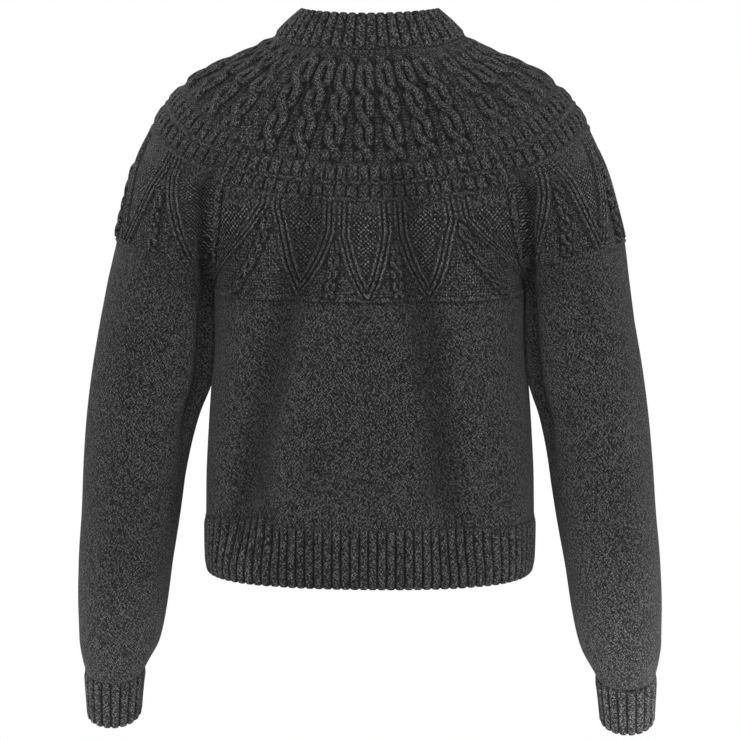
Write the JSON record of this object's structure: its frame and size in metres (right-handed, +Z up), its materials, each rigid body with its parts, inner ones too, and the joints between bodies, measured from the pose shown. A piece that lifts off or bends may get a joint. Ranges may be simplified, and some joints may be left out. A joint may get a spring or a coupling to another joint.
{
  "type": "pullover sweater",
  "caption": "Long-sleeved knitted pullover, filled out as if worn, with a round cabled yoke, raglan sleeves and ribbed neckband, hem and cuffs.",
  "frame": {"origin": "middle of the neck opening at shoulder height, where the wearer's shoulders carry the garment", "axes": "+Z up, +Y the way the wearer faces, +X the wearer's right; the back looks along -Y"},
  "size_m": [0.596, 0.238, 0.7335],
  "materials": {
    "wool_knit": "matte heathered wool"
  },
  "bodies": {
    "root": {"back": "wool_knit", "front": "wool_knit", "sleeve_left": "wool_knit", "sleeve_right": "wool_knit", "neckband": "wool_knit", "hem_rib_back": "wool_knit", "hem_rib_front": "wool_knit", "cuff_left": "wool_knit", "cuff_right": "wool_knit"}
  },
  "joints": []
}
